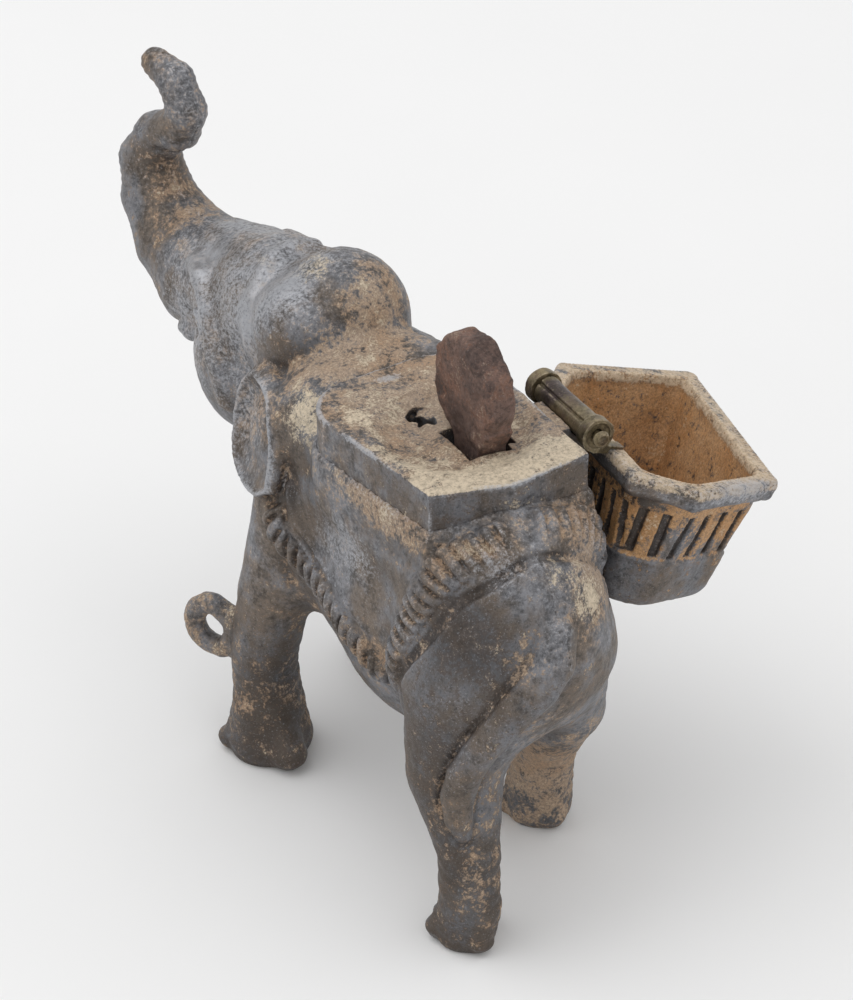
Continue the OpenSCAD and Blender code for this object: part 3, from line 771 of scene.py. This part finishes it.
def platform(p):
    d = slab(saddle_outline(), *SADDLE_Z, 0.45)[0](p)
    r = np.hypot(p[:, 0] - DISH[0], p[:, 1] - DISH[1])
    floor = DISH_FLOOR + 0.06 * np.cos(2 * np.pi * r / 2.6) + 0.10 * noise(p, 2.5, 31)
    floor += 1.25 * unit((r - 6.0) / 5.0) ** 2
    bowl = np.maximum(r - DISH_RADIUS, floor - p[:, 2])
    d = -smooth_min(-d, bowl, 0.7)
    # Rust that has swollen up round the lever's opening
    d = edit(p, d, egg((-1.2, -20.9, 64.9), (5.8, 7.4, 1.5)), 0.8)
    opening = slab([(-4.75, -25.8), (1.75, -25.8), (1.75, -17.2), (-4.75, -17.2)], 50, 75, 0.7)
    slot_cut = slab([(-6.15, -33.3), (-3.95, -33.3), (-3.95, -18.6), (-6.15, -18.6)], 50, 75, 0.2)
    d = edit(p, d, opening, 0.25, cut=True)
    d = edit(p, d, slot_cut, 0.25, cut=True)
    ragged = np.hypot(p[:, 0] - 2, (p[:, 1] + 31) * 0.75) - 1.5 + 1.1 * noise(p, 1.1, 14)
    d = np.maximum(d, -np.maximum(ragged, 61.5 - p[:, 2]))
    # The lug that carries the hinge's barrel
    lug = slab([(-17.0, 61.9), (-11, 61.9), (-11, 65.3), (-17.0, 65.3)], -26.9, -18.9, 0.4, (0, 2, 1))
    d = edit(p, d, lug, 0.6)
    seat = limb([(-17, -30, 65.4, 2.12), (-17, -15, 65.4, 2.12)])
    return edit(p, d, seat, 0.02, cut=True)


def make_platform():
    voxel = 0.2
    low, high = (-18.5, -45.5, 58.5), (16.5, -6, 69.5)
    points, quads, n, out = surface_of(platform, low, high, voxel, 16)
    top = unit((n[:, 2] - 0.4) * 3)
    x, y = points[:, 0], points[:, 1]
    r = np.hypot(x - DISH[0], y - DISH[1])
    edge = -outline_distance(x, y, saddle_outline())
    rim = np.exp(-((r - DISH_RADIUS - 0.3) / 1.5) ** 2) * unit((x + y + 22) / 8)
    border = unit((3.4 - edge) / 1.2) * unit((-14 - y) / 6)
    rear = unit((y + 17) / 4)
    tan = top * (1.0 - 0.28 * border + 0.25 * fbm(points, 8, 2, 6))
    tan += (1 - top) * (0.10 + 0.25 * fbm(points, 6, 2, 2))
    crust = top * (0.44 - 0.30 * border + 0.60 * rim + 1.25 * rear + 0.22 * fbm(points, 5, 2, 15))
    crust += (1 - top) * (0.02 + 0.25 * unit((62.5 - points[:, 2]) / 2))
    crust += (1 - top) * 0.45 * spot(points, (-2, -8, 62), (8, 2, 3))
    # Dark stain on the side walls, with painted shade added on walls that face +Y
    dark = (1 - top) * (0.22 + 0.2 * fbm(points, 7, 2, 19) + 0.3 * unit(n[:, 1]))
    dark += 0.9 * spot(points, (-1.2, -21.5, 65.5), (5.0, 5.4, 2.5))
    # Painted shade in and round the ragged hole
    dark += 0.8 * spot(points, (2, -31, 66), (1.8, 2, 2))
    dark += 0.25 * spot(points, (-8, -24, 65), (3, 8, 3))
    # Bare metal worn on the sharp edges, also standing as painted highlight along them
    sharp = unit(out / 0.18) * np.exp(-(edge / 1.2) ** 2)
    bare_and_highlight = 1.3 * sharp * (0.55 + 0.8 * fbm(points, 5, 2, 11)) + 0.14 * (1 - top)
    bare_and_highlight += 1.1 * spot(points, (1.8, -40.0, 66.8), (2.6, 1.3, 1.5))
    bare_and_highlight += 0.4 * spot(points, (-11.8, -30, 66.8), (1.5, 5, 1.5))
    skin = 0.10 * fbm(points, 3.5, 3, 22)
    skin += top * (0.07 * noise(points, 1.2, 6) + 0.05 * noise(points, 0.6, 61))
    skin -= top * 0.2 * unit(noise(points, 0.8, 33) - 0.5)
    points = points + n * skin[:, None]
    weather_and_shading = [tan, crust, dark, bare_and_highlight]
    piece("saddle_platform_cast", points, quads, weather_and_shading, cast, "bank", "saddle_platform")


# ---------- coin lever

LEVER_Y = (-25.6, -17.4)
# (direction in degrees, distance) of the flats round its head
LEVER_FACETS = ((96, 8.0), (52, 7.5), (12, 7.9), (137, 7.6), (178, 7.9), (215, 7.3), (325, 7.4))


def lever(p):
    x, y, z = p.T
    v, w = y + 22.8, z - 73.5
    head = np.hypot(v, w) - 8.2
    facets = np.max([v * math.cos(math.radians(t)) + w * math.sin(math.radians(t)) - r
                     for t, r in LEVER_FACETS], axis=0)
    neck = slab([(-25.4, 56), (-17.6, 56), (-17.6, 66), (-15.6, 69.5), (-29.6, 70), (-25.4, 66)],
                -10, 10, 0.4, (1, 2, 0))[0](p)
    profile = smooth_min(-smooth_min(-head, -facets, 0.6), neck, 2.0)
    half = 2.35 + 0.3 * noise(p, 5, 41) - 0.05 * np.clip(z - 77, 0, 9)
    base = unit((67.5 - z) / 1.5)
    thick = np.abs(x + 2.0) - half + 0.35 * base * (x > -2)
    d = -smooth_min(-profile, -thick, 1.1)
    hub = limb([(-2, LEVER_Y[0] + 2.8, 57, 2.8), (-2, LEVER_Y[1] - 2.8, 57, 2.8)])
    d = edit(p, d, hub, 0.5)
    tail = slab([(-3.2, -24), (-0.8, -24), (-0.8, -19), (-3.2, -19)], 48, 58, 0.3)
    d = edit(p, d, tail, 0.5)
    return np.maximum(np.maximum(d, LEVER_Y[0] - y - 4 * (z > 64)), y - LEVER_Y[1] - 4 * (z > 64))


def make_lever():
    voxel = 0.2
    points, quads, n, out = surface_of(lever, (-6.5, -32.5, 47), (2.5, -13, 83), voxel, 14)
    above = unit((points[:, 2] - 65.5) / 1.5)
    high = unit(out / 0.3)
    tan = 0.35 + 0.35 * fbm(points, 4, 3, 51) + 0.5 * high
    crust = 0.14 + 0.15 * fbm(points, 2.5, 2, 52) + 0.25 * high
    dark = 0.25 + 0.3 * fbm(points, 5, 2, 53) + 0.35 * spot(points, (0.2, -23, 70), (3, 4, 5))
    # Bare metal on raised places, also painted highlight there
    bare_and_highlight = 0.08 + 0.2 * high
    skin = above * (0.22 * fbm(points, 2.2, 3, 54) + 0.10 * noise(points, 0.8, 55))
    points = points + n * skin[:, None]
    weather_and_shading = [tan, crust, dark, bare_and_highlight]
    piece("coin_lever_forged", points, quads, weather_and_shading, rust, "coin_lever", "coin_lever")


# ---------- howdah

MOUTH = np.array([(-14.3, -7.6), (-6.6, -3.4), (9.4, -8.2), (17.1, -41.8), (-5.4, -42), (-12, -35.4)])
MOUTH_MID = np.array([0.0, -25.0])
RIM_LOW, SLIT_TOP, SLIT_LOW, SLIT_STEP = 3.4, 5.6, 13.6, 3.4
MOUTH_Z, HOWDAH_HEIGHT, HOWDAH_WALL, TAPER = 66.95, 21.5, 1.6, 4.4


def lean(q, inset):
    return q + inset * (MOUTH_MID - q) / np.linalg.norm(MOUTH_MID - q)


def closed_up(p):
    """Open-pose points carried back to where they'd be with the howdah shut."""
    a = math.radians(OPEN_DEG)
    x, z = p[:, 0] - HINGE[0], p[:, 2] - HINGE[2]
    turned = x * math.cos(a) + z * math.sin(a), z * math.cos(a) - x * math.sin(a)
    return np.stack([HINGE[0] + turned[0], p[:, 1], HINGE[2] + turned[1]], 1)


def from_pin(p):
    return np.hypot(p[:, 0] - HINGE[0], p[:, 2] - HINGE[2])


def wall_planes():
    """(outward normal, offset, start, along, length, up) of each side wall when shut, Z from the mouth."""
    out = []
    count = len(MOUTH)
    for i in range(count):
        a, b = MOUTH[i], MOUTH[(i + 1) % count]
        rise = HOWDAH_HEIGHT - 2
        inset = TAPER * rise / HOWDAH_HEIGHT
        top = (lean(a, inset) + lean(b, inset)) / 2
        low = np.array([*a, 0.0])
        along = np.array([*(b - a), 0.0])
        up = np.array([*(top - (a + b) / 2), rise])
        length = np.linalg.norm(along)
        along /= length
        up -= along * (up @ along)
        up /= np.linalg.norm(up)
        n = np.cross(along, up)
        if n[:2] @ ((a + b) / 2 - MOUTH_MID) < 0:
            n = -n
        out.append((n, n @ low, low, along, length, up))
    return out


WALLS = wall_planes()


def slit_pattern(q):
    """How far points lie in the recessed band under the rim and in its slits (0 to 1), and their depth."""
    band, slits = np.zeros(len(q)), np.zeros(len(q))
    depth = np.max([q @ wall[0] - wall[1] for wall in WALLS], axis=0)
    for n, offset, low, along, length, up in WALLS:
        t = (q - low) @ along
        u = (q - low) @ up
        near = q @ n - offset > depth - 0.8
        count = max(1, round((length - 2) / SLIT_STEP))
        pitch = (length - 2) / count
        wave = np.abs((t - 1) / pitch % 1 - 0.5) * pitch
        clear = unit((t - 1.2) / 0.2) * unit((length - 1.2 - t) / 0.2)
        rows = unit((u - SLIT_TOP) / 0.2) * unit((SLIT_LOW - 0.6 - u) / 0.2)
        slits = np.maximum(slits, near * rows * clear * unit((0.72 - wave) / 0.2))
        strip = unit((u - RIM_LOW) / 0.3) * unit((SLIT_LOW - u) / 0.3)
        band = np.maximum(band, near * strip)
    return band, slits, depth


def howdah(p):
    q = closed_up(p)
    q = np.stack([q[:, 0], q[:, 1], q[:, 2] - MOUTH_Z], 1)
    h = q[:, 2]
    sides = [q @ wall[0] - wall[1] for wall in WALLS]
    outer, inner = sides[0], sides[0] + HOWDAH_WALL
    for d in sides[1:]:
        outer = -smooth_min(-outer, -d, 1.6)
        inner = -smooth_min(-inner, -(d + HOWDAH_WALL), 2.2)
    band, slits, _ = slit_pattern(q)
    relief_cut = 0.3 * band + 0.85 * slits
    outer = -smooth_min(-outer, -(h - HOWDAH_HEIGHT), 2.8) + relief_cut
    inner = -smooth_min(-inner, -(h - HOWDAH_HEIGHT + HOWDAH_WALL), 2.0)
    inner = inner + 0.15 * noise(p, 2.5, 71)
    shell = -smooth_min(-outer, inner, 0.5)
    path = [(*lean(corner, 0.75), 1.3, 1.4) for corner in MOUTH]
    lower_path = [(x, y, 2.5, 1.15) for x, y, *_ in path]
    tubes = [limb(line + line[:1], 0.5)[0](q) for line in (path, lower_path)]
    rim = smooth_min(*tubes, 0.4)
    d = smooth_min(shell, rim, 0.5)
    d = np.maximum(d, 0.3 - h)
    # Room for the barrel and the pin
    span = np.abs(p[:, 1] - HINGE[1]) - 9.2
    return np.maximum(d, -np.maximum(from_pin(p) - 2.85, span))


def make_howdah():
    voxel = 0.22
    low, high = (-51.5, -45, 31.5), (-13.5, -1, 65.5)
    points, quads, n, out = surface_of(howdah, low, high, voxel, 16)
    q = closed_up(points)
    h = q[:, 2] - MOUTH_Z
    band, slits, depth = slit_pattern(np.stack([q[:, 0], q[:, 1], h], 1))
    inside = unit((-depth - 1.15) / 0.4) * (h < HOWDAH_HEIGHT - 0.8)
    low, high = unit(-out / 0.25), unit(out / 0.25)
    rim = unit((3.1 - h) / 0.6)
    lip = unit((2.0 - h) / 0.8)
    hinge_side = spot(points, (-19, -16, 57), (4, 16, 9)) * (1 - inside)
    bars = (band - slits) * (1 - inside)
    tan = 0.10 + 0.20 * low + inside * 1.1 + 0.55 * lip + 0.18 * fbm(points, 7, 2, 72)
    tan += bars * (0.5 + 0.5 * fbm(points, 5, 2, 74)) - 0.9 * slits * (1 - inside)
    crust = 0.02 + 0.06 * inside * (1 + 2 * fbm(points, 4, 2, 73)) + 0.75 * lip + 0.12 * bars
    # Dark stain, with painted shade in low places
    dark = 0.10 + 0.2 * low + 1.2 * hinge_side - 0.3 * rim
    # The slits are painted dark, as painted shade in the grooves
    dark += (1 - inside) * (1.3 * slits + 0.2 * (1 - rim) * (h > SLIT_LOW))
    dark += inside * (0.15 + 0.3 * fbm(points, 8, 2, 75))
    # Painted shade on the inner walls that face -X, deeper into the cup, and on the inner walls towards
    # the hinge
    dark += inside * 0.55 * unit((h - 3) / 8) * unit(-n[:, 0])
    dark += inside * 0.5 * unit((points[:, 0] + 32) / 8)
    # Bare metal worn along the rim, also standing as painted highlight on its raised places
    worn_and_highlight = 0.25 * high + 0.3 * (1 - inside) + 0.6 * spot(points, (-38, -5, 57), (10, 4, 4))
    bare_and_highlight = 0.05 + rim * worn_and_highlight
    skin = 0.10 * fbm(points, 4, 3, 76) + 0.05 * noise(points, 0.9, 77)
    skin += inside * 0.06 * noise(points, 1.4, 78)
    # No skin at the mouth, which lies close over the platform when shut
    skin *= unit((h - 0.35) / 0.6)
    points = points + n * skin[:, None]
    weather_and_shading = [tan, crust, dark, bare_and_highlight]
    piece("howdah_cast", points, quads, weather_and_shading, howdah_metal, "howdah", "howdah")


# ---------- tether eye

EYE_TURN = math.radians(-60)
LEG_MIDDLE = np.array([15.0, -54.0, 0.0])
EYE_Z = 18.8


def tether_eye(p):
    q = p - LEG_MIDDLE - [0, 0, EYE_Z]
    c, s = math.cos(EYE_TURN), math.sin(EYE_TURN)
    u = q[:, 0] * c + q[:, 1] * s
    w = -q[:, 0] * s + q[:, 1] * c
    r = np.hypot(u - 8.6, q[:, 2] * 0.95)
    wobble = 0.25 * noise(p, 2.2, 81)
    ring = np.hypot(r - 3.35 - wobble, w * 0.95) - 1.5
    foot = LEG_MIDDLE + 4.2 * np.array([c, s, 0])
    root = limb([(*foot[:2], 21.6, 1.6), (*foot[:2], 16.0, 1.7)])[0](p)
    return smooth_min(ring, root, 1.2)


def make_tether_eye():
    voxel = 0.18
    low, high = (14.5, -67.5, 12.5), (24.5, -53, 25.5)
    points, quads, n, out = surface_of(tether_eye, low, high, voxel, 10)
    tan = 0.45 + 0.3 * fbm(points, 3, 2, 82)
    crust = 0.15 + 0.2 * fbm(points, 2, 2, 83)
    # Dark in low places as painted shade, and bare metal with painted highlight on raised places
    dark = 0.3 + 0.3 * unit(-out / 0.2)
    bare_and_highlight = 0.2 * unit(out / 0.2)
    points = points + n * (0.12 * fbm(points, 1.6, 3, 84))[:, None]
    weather_and_shading = [tan, crust, dark, bare_and_highlight]
    piece("tether_eye_cast", points, quads, weather_and_shading, cast, "bank", "tether_eye")


# ---------- hinge

BARREL_HALF = 6.0
# (middle Y, side that faces out) of each eye
EYES = {"front": (-29.95, -1), "rear": (-15.85, 1)}
HEAD_Y = (-31.5, -14.3)


def barrel(p):
    share = np.abs(p[:, 1] - HINGE[1]) / BARREL_HALF
    angle = np.arctan2(p[:, 2] - HINGE[2], p[:, 0] - HINGE[0])
    seam = 0.35 * np.exp(-(((angle - 0.9) * 2.1) / 0.22) ** 2)
    width = 1.98 + 0.12 * unit(share * 4 - 3) + 0.06 * noise(p, 2.5, 90) - seam
    tube = np.maximum(from_pin(p) - width, (share - 1) * BARREL_HALF)
    return np.maximum(tube, 0.78 - from_pin(p))


def hinge_eye(middle, side):
    """A rolled eye with a strap to the howdah, its outer face dished round the pin."""
    def dist(p):
        q = closed_up(p)
        r = from_pin(q)
        y = p[:, 1] - middle
        ring = np.maximum(r - 2.5 - 0.08 * noise(p, 1.5, 91), np.abs(y) - 0.85)
        strap = np.maximum(np.abs(q[:, 0] + 14.6) - 2.5, np.abs(q[:, 2] - 67.4) - 0.6)
        d = smooth_min(ring, np.maximum(strap, np.abs(y) - 0.85), 0.3)
        dish = np.hypot(np.maximum(r - 1.5, 0), np.minimum(side * y - 0.9, 0)) - 0.4
        return np.maximum(np.maximum(d, -dish), 0.82 - r)
    return dist


def pin(p):
    r = from_pin(p)
    rod = np.maximum(r - 0.68, np.abs(p[:, 1] - HINGE[1]) - 8.5)
    angle = np.arctan2(p[:, 2] - HINGE[2], p[:, 0] - HINGE[0])
    curl = 0.16 * np.sin(2 * math.pi * r / 0.75 - angle)
    for y in HEAD_Y:
        head = np.hypot(r, (p[:, 1] - y) * 2.2) - 1.25 + curl * 0.6
        rod = np.minimum(rod, head)
    return rod


def make_hinge():
    voxel = 0.11
    jobs = [("hinge_barrel_rolled", barrel, "bank", "hinge_barrel",
             (-19.4, -29.2, 63.0), (-14.6, -16.6, 67.8)),
            ("hinge_pin_curled", pin, "bank", "hinge_pin",
             (-18.5, -32.4, 63.9), (-15.5, -13.4, 66.9))]
    for end, (middle, side) in EYES.items():
        jobs.append((f"hinge_eye_{end}_rolled", hinge_eye(middle, side), "howdah", f"hinge_eye_{end}",
                     (-23.5, middle - 1.3, 61.2), (-14.0, middle + 1.3, 69.0)))
    for name, field, body_name, node, low, high in jobs:
        points, quads, n, out = surface_of(field, low, high, voxel, 12)
        high_spots = unit(out / 0.08)
        tan = 0.35 + 0.3 * fbm(points, 3, 2, 92)
        dark = 0.25 + 0.3 * fbm(points, 3, 2, 93)
        if node == "hinge_barrel":
            dark += 1.2 * spot(points, (-17, -25.5, 67), (4, 3.2, 4))
        crust = 0.10 + 0.15 * fbm(points, 2, 2, 94)
        # Bare metal on high spots, also painted highlight there
        bare_and_highlight = 0.15 + 0.5 * high_spots
        skin = 0.03 * fbm(points, 1.2, 2, 95)
        points = points + n * skin[:, None]
        piece(name, points, quads, [tan, crust, dark, bare_and_highlight], brass, body_name, node)


make_body()
make_platform()
make_lever()
make_howdah()
make_tether_eye()
make_hinge()
for node in ("lever_pin", "lever_spring", "spring_screw", "body_screws"):
    frame["nodes"][node].data.materials.clear()
    frame["nodes"][node].data.materials.append(steel)

# ---------- camera, floor and light

AIM = np.array([-4.1, -40.0, 45.1])
AZIMUTH, ELEVATION, DISTANCE = math.radians(28.68), math.radians(32.52), 634.1
back = np.array([math.sin(AZIMUTH), math.cos(AZIMUTH), 0]) * math.cos(ELEVATION)
back[2] = math.sin(ELEVATION)
camera = bpy.data.objects.new("camera", bpy.data.cameras.new("camera"))
bpy.context.scene.collection.objects.link(camera)
camera.location = Vector(place(AIM + back * DISTANCE))
camera.rotation_mode = "QUATERNION"
camera.rotation_quaternion = Vector(-back).to_track_quat("-Z", "Y")
camera.data.lens = 162
camera.data.clip_start, camera.data.clip_end = 0.01, 20
bpy.context.scene.camera = camera


def make_floor():
    mesh = bpy.data.meshes.new("floor")
    half = 3.0
    corners = [(-half, -half, 0), (half, -half, 0), (half, half, 0), (-half, half, 0)]
    mesh.from_pydata(corners, [], [(0, 1, 2, 3)])
    floor = bpy.data.objects.new("floor", mesh)
    bpy.context.scene.collection.objects.link(floor)
    material = bpy.data.materials.new("pale_floor")
    material.use_nodes = True
    make = node_maker(material)
    coords = make("ShaderNodeTexCoord").outputs["Object"]
    haze = make("ShaderNodeTexNoise", {"Vector": coords, "Scale": 25.0, "Detail": 2.0}).outputs["Fac"]
    tint = make("ShaderNodeMapRange", {"Value": haze, "To Min": 0.87, "To Max": 0.89}).outputs[0]
    colour = make("ShaderNodeCombineColor", {0: tint, 1: tint, 2: tint}).outputs[0]
    surface = make("ShaderNodeBsdfPrincipled", {
        "Base Color": colour, "Roughness": 0.6, "Specular IOR Level": 0.2})
    make("ShaderNodeOutputMaterial", {"Surface": surface.outputs[0]})
    mesh.materials.append(material)


def softbox(name, where, aim, size, power):
    light = bpy.data.objects.new(name, bpy.data.lights.new(name, "AREA"))
    light.data.shape = "DISK"
    light.data.size = size
    light.data.energy = power
    light.location = where
    light.rotation_mode = "QUATERNION"
    light.rotation_quaternion = (Vector(aim) - Vector(where)).to_track_quat("-Z", "Y")
    bpy.context.scene.collection.objects.link(light)


make_floor()
middle = (0, 0, 0.05)
softbox("key", (0.40, -0.20, 0.80), middle, 0.8, 1.6)
softbox("top", (-0.10, 0.15, 1.1), middle, 0.9, 1.4)
world = bpy.data.worlds.new("studio")
world.use_nodes = True
world.node_tree.nodes["Background"].inputs[0].default_value = (1, 1, 1, 1)
world.node_tree.nodes["Background"].inputs[1].default_value = 0.82
bpy.context.scene.world = world
bpy.context.scene.view_settings.view_transform = "Standard"
